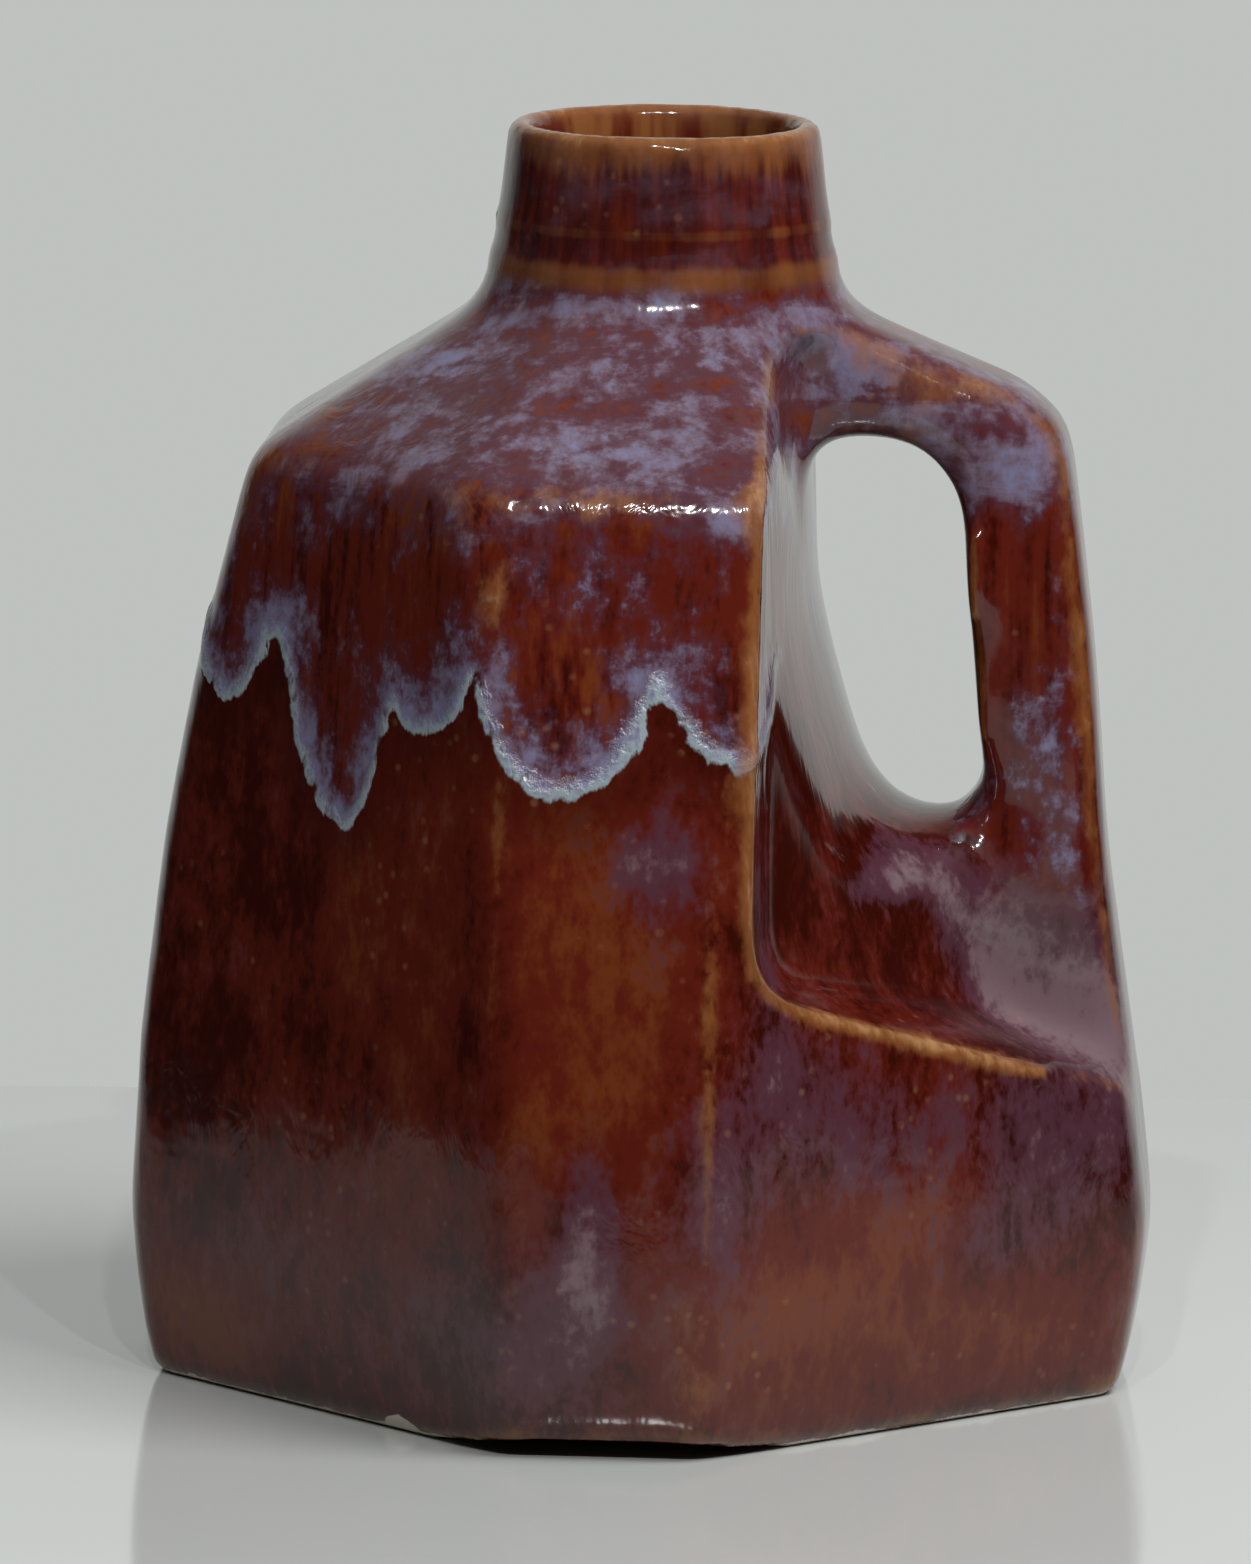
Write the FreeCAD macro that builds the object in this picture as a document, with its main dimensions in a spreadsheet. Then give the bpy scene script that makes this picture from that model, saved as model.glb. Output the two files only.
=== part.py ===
import FreeCAD, Part
import math
import os
import Sketcher

# A slip-cast porcelain milk jug: a square body with broad chamfered corners, whose diagonals lie on X and Y,
# a round ringed neck, and a handle cast into the +X corner between two recesses. It stands on z = 0, with
# the body's axis on Z. All but the foot's warp is symmetric about the XZ plane. Sizes are in millimetres.

SIZES = {
    # body, as levels of one chamfered square: a level's reach is from the axis to its chamfers, its handle
    # reach to the chamfer under the handle, and its diagonal to where two flat sides would meet
    "foot_reach": 60.0, "foot_handle_reach": 60.4, "foot_diagonal": 72.4,
    "tuck_level": 7.5, "tuck_reach": 62.2, "tuck_handle_reach": 62.2, "tuck_diagonal": 74.6,
    "belly_level": 21.0, "belly_reach": 64.0, "belly_handle_reach": 64.0, "belly_diagonal": 76.0,
    "hip_level": 44.0, "hip_reach": 62.7, "hip_handle_reach": 61.4, "hip_diagonal": 75.0,
    "waist_level": 68.0, "waist_reach": 59.4, "waist_handle_reach": 57.8, "waist_diagonal": 73.0,
    "chest_level": 92.0, "chest_reach": 54.8, "chest_handle_reach": 55.7, "chest_diagonal": 71.0,
    "shoulder_level": 117.5, "shoulder_reach": 48.5, "shoulder_handle_reach": 52.7,
    "shoulder_diagonal": 68.0,
    "collar_level": 139.0, "collar_reach": 16.5,
    "crease_radius": 5.0, "shoulder_round": 3.0, "foot_round": 1.2,
    # walls of the hollow
    "wall": 3.4, "floor_thick": 4.8, "roof_drop": 4.0, "shoulder_drop": 2.0,
    "hollow_step_low": 30.0, "cavity_bevel": 5.0,
    "web_hollow_level": 58.0, "web_hollow_reach": 38.0, "web_hollow_half_width": 6.5,
    # neck
    "neck_shift": 1.4, "neck_root_level": 126.0, "neck_foot_level": 137.0, "neck_foot_radius": 21.7,
    "neck_height": 158.0, "neck_top_radius": 19.3, "neck_blend": 9.0, "rim_round": 1.3,
    "bore_radius": 16.3, "bore_level": 128.0,
    "low_ring_level": 141.4, "low_ring_depth": 0.5, "ring_level": 145.6, "ring_width": 1.8,
    "ring_depth": 0.35,
    # recess on each side of the handle: its upright wall, its slanting floor and the ledge below it
    "recess_wall": 17.8, "recess_wall_floor": 45.0, "recess_reach": 75.0, "recess_top": 132.8,
    "recess_corner": 8.0, "ledge_level": 56.5, "ledge_fall": 0.41, "ledge_rise": 2.0,
    "ledge_wall_rise": 1.0, "cut_corner": 1.3,
    # room for the fingers beside the handle's top
    "room_level": 108.0, "room_wall_level": 124.0, "room_outer_level": 125.0,
    # handle
    "handle_half_width": 9.0, "handle_inner_half_width": 10.5, "handle_outer": 56.5,
    "handle_root": 20.0, "handle_crest_level": 136.4, "handle_elbow": 46.8, "handle_elbow_level": 125.6,
    "handle_brow": 52.0, "handle_brow_level": 121.0, "handle_base": 51.0, "handle_base_level": 100.0,
    "handle_bend": 4.0, "handle_corner": 1.3,
    # gap between the handle and the body, and how it widens towards both sides
    "gap_top": 119.5, "gap_bottom": 71.2, "gap_inner_top": 19.8, "gap_knee": 20.4, "gap_knee_level": 96.0,
    "gap_inner_bottom": 28.8, "gap_outer_top": 39.0, "gap_outer_bottom": 43.2,
    "gap_flare_in": 2.6, "gap_flare_down": 18.0, "gap_flare_reach": 45.0,
    "gap_top_round": 5.0, "gap_knee_round": 30.0, "gap_heel_round": 9.0, "gap_toe_round": 3.5,
    "gap_brow_round": 11.0,
    # lift of the warped foot under the -Y corner, and the share of it that is left at its inner end
    "arch_width": 62.0, "arch_crown": 20.0, "arch_rise": 2.6, "arch_start": 24.0, "arch_end": 66.0,
    "arch_share": 0.2,
}
NEAR = 0.01  # how closely an edge has to lie on a level or a radius to be picked for a fillet

doc = FreeCAD.newDocument("jug")
sheet = doc.addObject("Spreadsheet::Sheet", "Sizes")
for row, (alias, size) in enumerate(SIZES.items(), start=1):
    sheet.set("A%d" % row, alias)
    sheet.set("B%d" % row, str(size))
    sheet.setAlias("B%d" % row, alias)
doc.recompute()

body = doc.addObject("PartDesign::Body", "jug")
body.Label = "jug"


def value(expression):
    """The number that an expression of the sheet's sizes gives now, in millimetres."""
    return float(body.evalExpression(expression))


def new_sketch(name, role, offset=None, offset_axis="z"):
    """A sketch on one of the body's origin planes, moved along the plane's normal by an expression."""
    sketch = body.newObject("Sketcher::SketchObject", name)
    plane = next(feature for feature in body.Origin.OriginFeatures if feature.Role == role)
    sketch.AttachmentSupport = [(plane, "")]
    sketch.MapMode = "FlatFace"
    if offset is not None:
        sketch.setExpression("AttachmentOffset.Base." + offset_axis, offset)
    return sketch


def bind(sketch, index, name, expression):
    """Names a constraint and ties its value to the sheet."""
    sketch.renameConstraint(index, name)
    sketch.setExpression("Constraints." + name, expression)


def outline(sketch, corners):
    """A closed polygon whose corners are pairs of expressions, each tied to the sketch's origin."""
    points = [FreeCAD.Vector(value(x), value(y), 0) for x, y in corners]
    following = points[1:] + points[:1]
    sketch.addGeometry([Part.LineSegment(a, b) for a, b in zip(points, following)], False)
    for i in range(len(points)):
        sketch.addConstraint(Sketcher.Constraint("Coincident", i, 2, (i + 1) % len(points), 1))
    for i, (x, y) in enumerate(corners):
        across = sketch.addConstraint(Sketcher.Constraint("DistanceX", -1, 1, i, 1, points[i].x))
        bind(sketch, across, "x%d" % i, x)
        up = sketch.addConstraint(Sketcher.Constraint("DistanceY", -1, 1, i, 1, points[i].y))
        bind(sketch, up, "y%d" % i, y)


def rounded_outline(sketch, corners):
    """A closed polygon with an arc at each corner; a corner is two places and a radius, as expressions."""
    count = len(corners)
    points = [FreeCAD.Vector(value(x), value(y), 0) for x, y, radius in corners]
    radii = [value(radius) for x, y, radius in corners]
    arcs = []
    for i, point in enumerate(points):
        before = (points[i - 1] - point).normalize()
        after = (points[(i + 1) % count] - point).normalize()
        half = before.getAngle(after) / 2
        reach = radii[i] / math.tan(half)
        middle = point + (before + after).normalize() * (radii[i] / math.sin(half) - radii[i])
        arcs.append((point + before * reach, middle, point + after * reach))
    for i in range(count):
        sketch.addGeometry(Part.LineSegment(arcs[i][2], arcs[(i + 1) % count][0]), False)
    for first, middle, last in arcs:
        sketch.addGeometry(Part.Arc(first, middle, last), False)
    for i, point in enumerate(points):
        line, previous, arc = i, (i - 1) % count, count + i
        corner = sketch.addGeometry(Part.Point(point), True)
        x, y, radius = corners[i]
        across = sketch.addConstraint(Sketcher.Constraint("DistanceX", -1, 1, corner, 1, point.x))
        bind(sketch, across, "x%d" % i, x)
        up = sketch.addConstraint(Sketcher.Constraint("DistanceY", -1, 1, corner, 1, point.y))
        bind(sketch, up, "y%d" % i, y)
        sketch.addConstraint(Sketcher.Constraint("PointOnObject", corner, 1, line))
        sketch.addConstraint(Sketcher.Constraint("PointOnObject", corner, 1, previous))
        arc_ends = (1, 2) if sketch.Geometry[arc].StartPoint.distanceToPoint(arcs[i][0]) < NEAR else (2, 1)
        sketch.addConstraint(Sketcher.Constraint("Tangent", previous, 2, arc, arc_ends[0]))
        sketch.addConstraint(Sketcher.Constraint("Tangent", line, 1, arc, arc_ends[1]))
        turned = sketch.addConstraint(Sketcher.Constraint("Radius", arc, radii[i]))
        bind(sketch, turned, "round%d" % i, radius)


def octagon(name, level, handle_reach, handle_slant, reach, slant, radius, shift="0"):
    """A chamfered square at a level: eight lines at 45 degrees to each other, joined by tangent arcs.

    handle_reach and reach are the distances from the centre to the chamfers towards the handle and to the
    other three. handle_slant and slant are those to the flat sides next to the handle and to the other two.
    """
    sketch = new_sketch(name, "XY_Plane", level)
    offsets = [handle_reach, handle_slant, reach, slant, reach, slant, reach, handle_slant]
    turn = math.pi / 4
    r = value(radius)
    centre = FreeCAD.Vector(value(shift), 0, 0)
    normals = [FreeCAD.Vector(math.cos(i * turn), math.sin(i * turn), 0) for i in range(8)]
    sines = math.sin(turn)
    arc_centres = []
    for i in range(8):
        p, q = value(offsets[i]) - r, value(offsets[(i + 1) % 8]) - r
        n, m = normals[i], normals[(i + 1) % 8]
        corner = FreeCAD.Vector((p * m.y - q * n.y) / sines, (q * n.x - p * m.x) / sines, 0)
        arc_centres.append(centre + corner)
    for i in range(8):
        start = arc_centres[i - 1] + normals[i] * r
        end = arc_centres[i] + normals[i] * r
        sketch.addGeometry(Part.LineSegment(start, end), False)
    for i in range(8):
        circle = Part.Circle(arc_centres[i], FreeCAD.Vector(0, 0, 1), r)
        sketch.addGeometry(Part.ArcOfCircle(circle, i * turn, (i + 1) * turn), False)
    middle = sketch.addGeometry(Part.Point(centre), True)
    place = sketch.addConstraint(Sketcher.Constraint("DistanceX", -1, 1, middle, 1, centre.x))
    bind(sketch, place, "shift", shift)
    sketch.addConstraint(Sketcher.Constraint("PointOnObject", middle, 1, -1))
    for i in range(8):
        direction = math.atan2(normals[i].x, -normals[i].y)
        sketch.addConstraint(Sketcher.Constraint("Angle", i, direction))
        away = sketch.addConstraint(Sketcher.Constraint("Distance", middle, 1, i, value(offsets[i])))
        bind(sketch, away, "reach%d" % i, offsets[i])
    for i in range(8):
        sketch.addConstraint(Sketcher.Constraint("Tangent", i, 2, 8 + i, 1))
        sketch.addConstraint(Sketcher.Constraint("Tangent", 8 + i, 2, (i + 1) % 8, 1))
        turned = sketch.addConstraint(Sketcher.Constraint("Radius", 8 + i, r))
        bind(sketch, turned, "round%d" % i, radius)
    return sketch


def add(kind, name, sketch, **settings):
    """A feature made from a sketch, recomputed so that the next one can read its shape."""
    feature = body.newObject("PartDesign::" + kind, name)
    feature.Profile = sketch
    for key, setting in settings.items():
        setattr(feature, key, setting)
    sketch.Visibility = False
    doc.recompute()
    return feature


def fillet(name, radius, chosen):
    """A fillet on the edges of the tip that chosen(edge) picks."""
    base = body.Tip
    picked = ["Edge%d" % (i + 1) for i, edge in enumerate(base.Shape.Edges) if chosen(edge)]
    if not picked:
        raise RuntimeError(name + " finds no edge")
    feature = body.newObject("PartDesign::Fillet", name)
    feature.Base = (base, picked)
    feature.setExpression("Radius", radius)
    doc.recompute()
    return feature


def middle_of(edge):
    """The point halfway along an edge."""
    return edge.valueAt((edge.FirstParameter + edge.LastParameter) / 2)


def mirror(name, feature):
    """A feature's copy on the other side of the XZ plane."""
    copy = body.newObject("PartDesign::Mirrored", name)
    copy.Originals = [feature]
    plane = next(origin for origin in body.Origin.OriginFeatures if origin.Role == "XZ_Plane")
    copy.MirrorPlane = (plane, [""])
    body.Tip = copy
    doc.recompute()
    return copy


# --- body -----------------------------------------------------------------------------------------------
def level_sizes(part, inset="0"):
    """A level's distances from the axis, in octagon's order, moved inwards by an expression."""
    slant = "(Sizes.%s_diagonal * sqrt(2) / 2 - (%s))" % (part, inset)
    return ("(Sizes.%s_handle_reach - (%s))" % (part, inset), slant,
            "(Sizes.%s_reach - (%s))" % (part, inset), slant)


outlines = [octagon(part + "_outline", level, *level_sizes(part), "Sizes.crease_radius")
            for part, level in (("foot", "0"), ("tuck", "Sizes.tuck_level"), ("belly", "Sizes.belly_level"),
                                ("hip", "Sizes.hip_level"), ("waist", "Sizes.waist_level"),
                                ("chest", "Sizes.chest_level"), ("shoulder", "Sizes.shoulder_level"))]
add("AdditiveLoft", "sides", outlines[0], Sections=outlines[1:], Ruled=True)
brow = octagon("slope_outline", "Sizes.shoulder_level", *level_sizes("shoulder"), "Sizes.crease_radius")
collar = octagon("collar_outline", "Sizes.collar_level", *["Sizes.collar_reach"] * 4,
                 "Sizes.crease_radius", "Sizes.neck_shift")
add("AdditiveLoft", "slope", brow, Sections=[collar], Ruled=True)
shoulder_level = value("Sizes.shoulder_level")
fillet("shoulder_edge", "Sizes.shoulder_round",
       lambda edge: abs(edge.BoundBox.ZMin - shoulder_level) < NEAR and edge.BoundBox.ZLength < NEAR)
fillet("foot_edge", "Sizes.foot_round", lambda edge: edge.BoundBox.ZMax < NEAR)

# --- neck -----------------------------------------------------------------------------------------------
taper = "(Sizes.neck_top_radius - Sizes.neck_foot_radius) / (Sizes.neck_height - Sizes.neck_foot_level)"


def neck_point(level, proud="0"):
    """A corner of the neck's profile on its tapering side, standing proud of it by an expression."""
    return "Sizes.neck_foot_radius + %s * (%s - Sizes.neck_foot_level) + %s" % (taper, level, proud), level


ring_low = "(Sizes.ring_level - Sizes.ring_width / 2)"
ring_high = "(Sizes.ring_level + Sizes.ring_width / 2)"
step_top = "(Sizes.low_ring_level + Sizes.low_ring_depth)"
profile = new_sketch("neck_profile", "XZ_Plane", "Sizes.neck_shift", "x")
outline(profile, [
    ("0", "Sizes.neck_root_level"),
    ("Sizes.neck_foot_radius", "Sizes.neck_root_level"),
    neck_point("Sizes.neck_foot_level", "0"),
    neck_point("Sizes.low_ring_level", "Sizes.low_ring_depth"),
    neck_point(step_top),
    neck_point(ring_low),
    neck_point("Sizes.ring_level", "Sizes.ring_depth"),
    neck_point(ring_high),
    neck_point("Sizes.neck_height"),
    ("0", "Sizes.neck_height"),
])
add("Revolution", "neck", profile, ReferenceAxis=(profile, ["V_Axis"]), Angle=360)
neck_x, neck_radius = value("Sizes.neck_shift"), value("Sizes.neck_foot_radius")
root_low, root_high = value("Sizes.shoulder_level + Sizes.shoulder_round"), value("Sizes.neck_foot_level")


def on_neck_root(edge):
    """True for the edges where the neck leaves the sloping shoulder."""
    point = middle_of(edge)
    away = math.hypot(point.x - neck_x, point.y)
    return abs(away - neck_radius) < NEAR and root_low < point.z < root_high - NEAR


fillet("neck_root", "Sizes.neck_blend", on_neck_root)

# --- handle ---------------------------------------------------------------------------------------------
bar_outline = new_sketch("handle_outline", "XZ_Plane")
rounded_outline(bar_outline, [
    ("Sizes.handle_root", "Sizes.handle_base_level", "Sizes.handle_corner"),
    ("Sizes.handle_base", "Sizes.handle_base_level", "Sizes.handle_corner"),
    ("Sizes.shoulder_handle_reach", "Sizes.shoulder_level", "Sizes.handle_bend"),
    ("Sizes.handle_brow", "Sizes.handle_brow_level", "Sizes.handle_bend"),
    ("Sizes.handle_elbow", "Sizes.handle_elbow_level", "Sizes.handle_bend"),
    ("Sizes.handle_root", "Sizes.handle_crest_level", "Sizes.handle_corner"),
])
crest = body.newObject("PartDesign::Pad", "handle_crest")
crest.Profile = bar_outline
crest.Midplane = True
crest.setExpression("Length", "2 * Sizes.handle_half_width")
doc.recompute()


def recess_section(name, depth, inner, rise):
    """The recess's outline in an upright plane at a depth from the middle: wall, ledge and open sides."""
    sketch = new_sketch(name, "XZ_Plane", depth)
    ledge = "Sizes.ledge_level + (%s) - Sizes.ledge_fall * ((%s) - Sizes.recess_wall)"
    rounded_outline(sketch, [
        (inner, ledge % (rise, inner), "Sizes.recess_corner"),
        ("Sizes.recess_reach", ledge % (rise, "Sizes.recess_reach"), "Sizes.cut_corner"),
        ("Sizes.recess_reach", "Sizes.recess_top", "Sizes.cut_corner"),
        (inner, "Sizes.recess_top", "Sizes.cut_corner"),
    ])
    return sketch


recess = [recess_section("recess_%d" % i, depth, inner, rise) for i, (depth, inner, rise) in enumerate((
    ("Sizes.handle_half_width", "Sizes.handle_outer", "Sizes.ledge_rise"),
    ("Sizes.handle_inner_half_width", "Sizes.gap_outer_bottom", "Sizes.ledge_rise"),
    ("Sizes.recess_wall_floor", "Sizes.recess_wall", "Sizes.ledge_wall_rise"),
    ("Sizes.recess_reach", "Sizes.recess_wall", "0")))]
mirror("far_recess", add("SubtractiveLoft", "near_recess", recess[0], Sections=recess[1:], Ruled=True))

room = new_sketch("finger_room", "XZ_Plane", "Sizes.handle_inner_half_width")
outline(room, [
    ("Sizes.recess_wall", "Sizes.room_wall_level"),
    ("Sizes.gap_inner_top", "Sizes.room_level"),
    ("Sizes.gap_outer_top", "Sizes.room_level"),
    ("Sizes.recess_reach", "Sizes.room_outer_level"),
    ("Sizes.recess_reach", "Sizes.recess_top"),
    ("Sizes.recess_wall", "Sizes.recess_top"),
])
near_room = body.newObject("PartDesign::Pocket", "near_room")
near_room.Profile = room
near_room.Reversed = True
near_room.setExpression("Length", "Sizes.recess_reach")
doc.recompute()
mirror("far_room", near_room)


def gap_section(name, place, flare):
    """The gap's outline in an upright plane, flared by a share of the flare sizes."""
    sketch = new_sketch(name, "XZ_Plane", place)
    down = "Sizes.gap_bottom - %s * Sizes.gap_flare_down" % flare
    inwards = "%s * Sizes.gap_flare_in" % flare
    rounded_outline(sketch, [
        ("Sizes.gap_inner_bottom - " + inwards, down, "Sizes.gap_heel_round"),
        ("Sizes.gap_outer_bottom", down, "Sizes.gap_toe_round"),
        ("Sizes.gap_outer_top", "Sizes.gap_top", "Sizes.gap_brow_round"),
        ("Sizes.gap_inner_top - " + inwards, "Sizes.gap_top", "Sizes.gap_top_round"),
        ("Sizes.gap_knee - " + inwards, "Sizes.gap_knee_level", "Sizes.gap_knee_round"),
    ])
    return sketch


near_gap = gap_section("gap_near", "Sizes.gap_flare_reach", "1")
mid_gap = gap_section("gap_middle", "0", "0")
far_gap = gap_section("gap_far", "-Sizes.gap_flare_reach", "1")
add("SubtractiveLoft", "gap", near_gap, Sections=[mid_gap, far_gap], Ruled=False)

# --- hollow ---------------------------------------------------------------------------------------------
inner_wall = "(Sizes.recess_wall - Sizes.wall)"


def behind_recess(part):
    """A level's distances inside the wall, cut off upright behind the recess's wall."""
    handle_reach, handle_slant, reach, slant = level_sizes(part, "Sizes.wall")
    cut_slant = "(%s + %s - Sizes.cavity_bevel) * sqrt(2) / 2" % (inner_wall, reach)
    return inner_wall, cut_slant, reach, slant


bore_reach = "Sizes.bore_radius"
hollow = [octagon("hollow_" + part, level, *reaches, "Sizes.crease_radius", shift)
          for part, level, reaches, shift in (
    ("floor", "Sizes.floor_thick", level_sizes("foot", "Sizes.wall"), "0"),
    ("belly", "Sizes.belly_level", level_sizes("belly", "Sizes.wall"), "0"),
    ("ledge", "Sizes.hollow_step_low", level_sizes("hip", "Sizes.wall"), "0"),
    ("recess", "Sizes.hip_level", behind_recess("hip"), "0"),
    ("waist", "Sizes.waist_level", behind_recess("waist"), "0"),
    ("chest", "Sizes.chest_level", behind_recess("chest"), "0"),
    ("shoulder", "Sizes.shoulder_level - Sizes.shoulder_drop", behind_recess("shoulder"), "0"),
    ("collar", "Sizes.collar_level - Sizes.roof_drop",
     ("Sizes.recess_wall - Sizes.wall - Sizes.neck_shift",) + (bore_reach,) * 3, "Sizes.neck_shift"))]
add("SubtractiveLoft", "hollow", hollow[0], Sections=hollow[1:], Ruled=True)

web_floor = "(Sizes.recess_wall_floor - Sizes.wall * sqrt(2))"
web_plan = new_sketch("web_plan", "XY_Plane", "Sizes.web_hollow_level")
outline(web_plan, [
    (inner_wall, "-" + web_floor),
    ("Sizes.web_hollow_reach", "-Sizes.web_hollow_half_width"),
    ("Sizes.web_hollow_reach", "Sizes.web_hollow_half_width"),
    (inner_wall, web_floor),
])
web_hollow = body.newObject("PartDesign::Pocket", "web_hollow")
web_hollow.Profile = web_plan
web_hollow.setExpression("Length", "Sizes.web_hollow_level - Sizes.hollow_step_low")
doc.recompute()

mouth = new_sketch("mouth", "XY_Plane", "Sizes.neck_height")
mouth.setExpression("AttachmentOffset.Base.x", "Sizes.neck_shift")
mouth.addGeometry(Part.Circle(FreeCAD.Vector(0, 0, 0), FreeCAD.Vector(0, 0, 1), value(bore_reach)), False)
mouth.addConstraint(Sketcher.Constraint("Coincident", 0, 3, -1, 1))
bind(mouth, mouth.addConstraint(Sketcher.Constraint("Radius", 0, value(bore_reach))), "bore", bore_reach)
bore = body.newObject("PartDesign::Pocket", "bore")
bore.Profile = mouth
bore.setExpression("Length", "Sizes.neck_height - Sizes.bore_level")
doc.recompute()
rim_level = value("Sizes.neck_height")
fillet("rim", "Sizes.rim_round", lambda edge: edge.BoundBox.ZMin > rim_level - NEAR)

# --- foot -----------------------------------------------------------------------------------------------
def arch_section(name, place, share):
    """The lift under the near corner's foot in an upright plane, at a share of its full size."""
    sketch = new_sketch(name, "XZ_Plane", place)
    half_width = "%s * Sizes.arch_width / 2" % share
    half_crown = "%s * Sizes.arch_crown / 2" % share
    outline(sketch, [
        ("-" + half_width, "-Sizes.arch_rise"),
        (half_width, "-Sizes.arch_rise"),
        (half_width, "0"),
        (half_crown, share + " * Sizes.arch_rise"),
        ("-" + half_crown, share + " * Sizes.arch_rise"),
        ("-" + half_width, "0"),
    ])
    return sketch


arch_outside = arch_section("arch_outside", "Sizes.arch_end", "1")
arch_inside = arch_section("arch_inside", "Sizes.arch_start", "Sizes.arch_share")
add("SubtractiveLoft", "arch", arch_outside, Sections=[arch_inside], Ruled=True)

# --- check and write ------------------------------------------------------------------------------------
doc.recompute()
for item in doc.Objects:
    if "Invalid" in item.State or "Error" in item.State:
        raise RuntimeError("%s failed: %s" % (item.Name, item.State))
if body.Shape.isNull() or not body.Shape.isValid() or len(body.Shape.Solids) != 1:
    raise RuntimeError("%s is not one valid solid" % body.Label)
os.makedirs("parts", exist_ok=True)
body.Shape.exportStep("parts/%s.step" % body.Label)
print("%s: %.0f cubic mm" % (body.Label, body.Shape.Volume))
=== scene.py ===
import math

import bmesh
import bpy
import numpy as np
from bpy.props import FloatProperty, FloatVectorProperty, IntProperty, PointerProperty
from mathutils import Matrix, Vector


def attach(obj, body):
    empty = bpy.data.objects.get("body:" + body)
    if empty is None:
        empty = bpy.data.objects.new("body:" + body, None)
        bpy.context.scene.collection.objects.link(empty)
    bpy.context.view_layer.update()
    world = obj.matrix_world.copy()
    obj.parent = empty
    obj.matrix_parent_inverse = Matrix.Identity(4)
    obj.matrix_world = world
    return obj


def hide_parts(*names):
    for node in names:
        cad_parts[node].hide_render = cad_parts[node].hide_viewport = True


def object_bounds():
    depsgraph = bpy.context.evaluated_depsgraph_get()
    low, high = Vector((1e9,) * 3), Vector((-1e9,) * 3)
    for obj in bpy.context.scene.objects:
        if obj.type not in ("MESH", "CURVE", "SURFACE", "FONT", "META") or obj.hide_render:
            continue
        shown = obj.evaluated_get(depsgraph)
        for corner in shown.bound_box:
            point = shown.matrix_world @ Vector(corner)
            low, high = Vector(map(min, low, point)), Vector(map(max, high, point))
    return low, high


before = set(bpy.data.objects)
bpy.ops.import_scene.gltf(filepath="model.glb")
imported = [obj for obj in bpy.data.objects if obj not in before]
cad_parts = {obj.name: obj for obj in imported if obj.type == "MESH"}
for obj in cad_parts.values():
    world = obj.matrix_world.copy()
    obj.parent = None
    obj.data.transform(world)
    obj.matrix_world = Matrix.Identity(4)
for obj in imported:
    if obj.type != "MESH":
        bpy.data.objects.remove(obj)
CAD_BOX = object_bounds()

bl_info = {
    "name": "Porcelain Jug",
    "version": (1, 0, 0),
    "blender": (4, 5, 0),
    "location": "3D View > Sidebar > Jug",
    "description": "Casts, glazes and stages a slip-cast porcelain milk jug",
    "category": "Add Mesh",
}

MM = 0.001

# Where the flowing top glaze stopped: one drip is its bearing round the axis in degrees, counted from the
# handle, the level of its tip in mm, and its width in degrees before and after its middle.
DRIPS = (
    (-157, 88, 9, 6), (-132, 75, 15, 10), (-118, 88.5, 8, 10), (-97, 82, 12, 13), (-74, 86, 11, 9),
    (-43, 90, 10, 10), (-10, 62, 9, 9), (10, 68, 9, 9), (38, 86, 12, 9), (63, 91, 8, 10),
    (84, 78, 13, 10), (106, 90, 8, 10), (124, 80, 12, 9), (146, 87, 10, 8), (170, 74, 12, 11),
)
# Clouds in the glaze: bearing in degrees, level, half width and half height in mm, and strength.
WARM = (
    (-95, 66, 13, 20, 0.9), (-90, 48, 9, 16, 0.7), (-62, 18, 20, 13, 1.2), (-45, 30, 12, 7, 0.6),
    (-157, 9, 11, 8, 1.5), (-128, 62, 8, 12, 0.7), (-113, 55, 6, 22, 0.6), (-99, 38, 7, 14, 0.5),
    (-30, 12, 14, 7, 0.7), (-118, 30, 4, 20, 0.5), (30, 20, 22, 14, 1.0), (75, 60, 14, 20, 0.8),
    (100, 20, 16, 12, 0.8), (140, 50, 12, 18, 0.6), (175, 25, 14, 12, 0.7), (-75, 74, 7, 6, 0.5),
)
HAZE = (
    (-84, 73, 6, 7, 0.9), (-92, 27, 3.5, 12, 1.2), (-95, 18, 9, 8, 0.5), (-77, 33, 6, 14, 0.8),
    (-98, 12, 7, 10, 0.5), (-52, 36, 13, 8, 0.7), (-24, 34, 12, 12, 0.9), (-35, 22, 9, 5, 0.5),
    (-8, 45, 9, 18, 0.8), (-14, 54, 5, 10, 1.2), (-8, 46, 5, 10, 0.8), (-28, 67, 9, 4, 1.5),
    (-40, 66, 9, 2.5, 0.9), (-20, 61, 5, 5, 1.1), (-113, 14, 10, 10, 0.45), (-150, 17, 18, 12, 0.35),
    (-66, 44, 8, 9, 0.6), (-70, 62, 3, 16, 0.6), (-104, 44, 3, 18, 0.3), (40, 40, 14, 12, 0.7),
    (80, 34, 10, 16, 0.7), (112, 50, 9, 12, 0.6), (150, 22, 16, 12, 0.5), (20, 60, 10, 14, 0.6),
    (180, 44, 8, 14, 0.4),
)
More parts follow.
